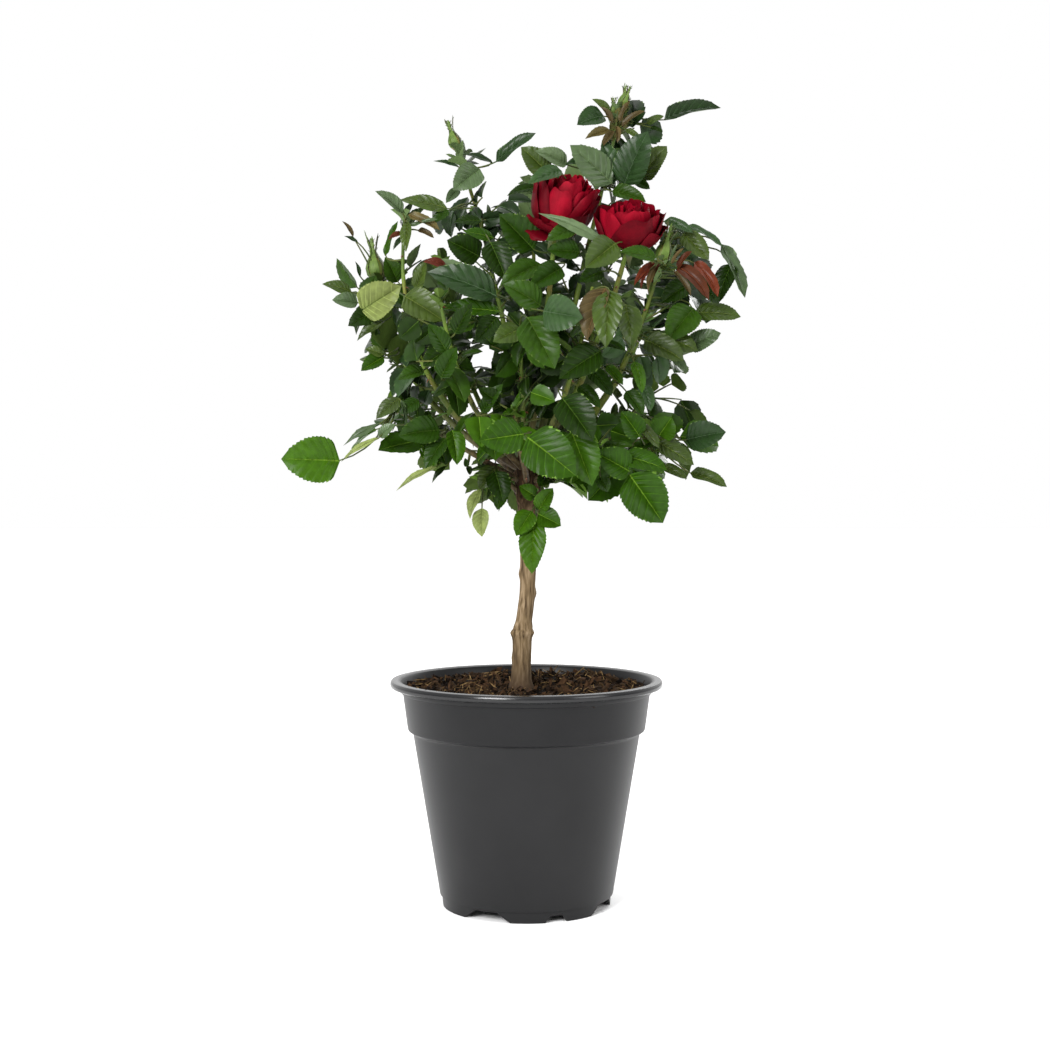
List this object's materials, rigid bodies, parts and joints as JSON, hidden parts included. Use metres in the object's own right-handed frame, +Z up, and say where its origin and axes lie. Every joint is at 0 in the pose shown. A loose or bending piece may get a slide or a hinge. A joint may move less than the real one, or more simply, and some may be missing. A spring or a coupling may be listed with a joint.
{
  "type": "potted standard rose",
  "caption": "Standard rose in a round nursery pot: one bare stem with a bushy head of thorny canes, compound leaves, red double blooms and buds.",
  "frame": {"origin": "on the pot's axis at the level its feet stand on, which is the middle of the underside of the bounding box", "axes": "+Z up along the pot's axis, -Y to the front, +X to the right as seen from the front"},
  "size_m": [0.3113, 0.2768, 0.5682],
  "materials": {
    "pot": "satin moulded plastic, dark grey",
    "soil": "moist potting soil with bark chips",
    "bark": "rough grey-brown bark",
    "cane": "smooth green cane",
    "leaf": "glossy leaf",
    "bloom": "velvety petal"
  },
  "bodies": {
    "root": {"pot": "pot", "soil": "soil", "trunk": "bark", "bough_back": "cane", "bough_back_high": "cane", "bough_back_left": "cane", "bough_back_right": "cane", "bough_bloom_left": "cane", "bough_bloom_right": "cane", "bough_front": "cane", "bough_front_left": "cane", "bough_front_mid": "cane", "bough_front_right": "cane", "bough_left": "cane", "bough_left_bud": "cane", "bough_left_tall": "cane", "bough_right": "cane", "bough_right_mid": "cane", "bough_top_right": "cane", "foliage_back": "leaf", "foliage_back_high": "leaf", "foliage_back_left": "leaf", "foliage_back_low": "leaf", "foliage_back_low_left": "leaf", "foliage_back_low_right": "leaf", "foliage_back_right": "leaf", "foliage_front": "leaf", "foliage_front_left": "leaf", "foliage_front_low": "leaf", "foliage_front_mid": "leaf", "foliage_front_right": "leaf", "foliage_front_right_low": "leaf", "foliage_left": "leaf", "foliage_left_bud": "leaf", "foliage_left_hanging": "leaf", "foliage_left_low": "leaf", "foliage_left_tall": "leaf", "foliage_right": "leaf", "foliage_right_low": "leaf", "foliage_right_mid": "leaf", "foliage_sprig": "leaf", "foliage_top_right": "leaf", "bloom_left": "bloom", "bloom_right": "bloom"}
  },
  "joints": []
}
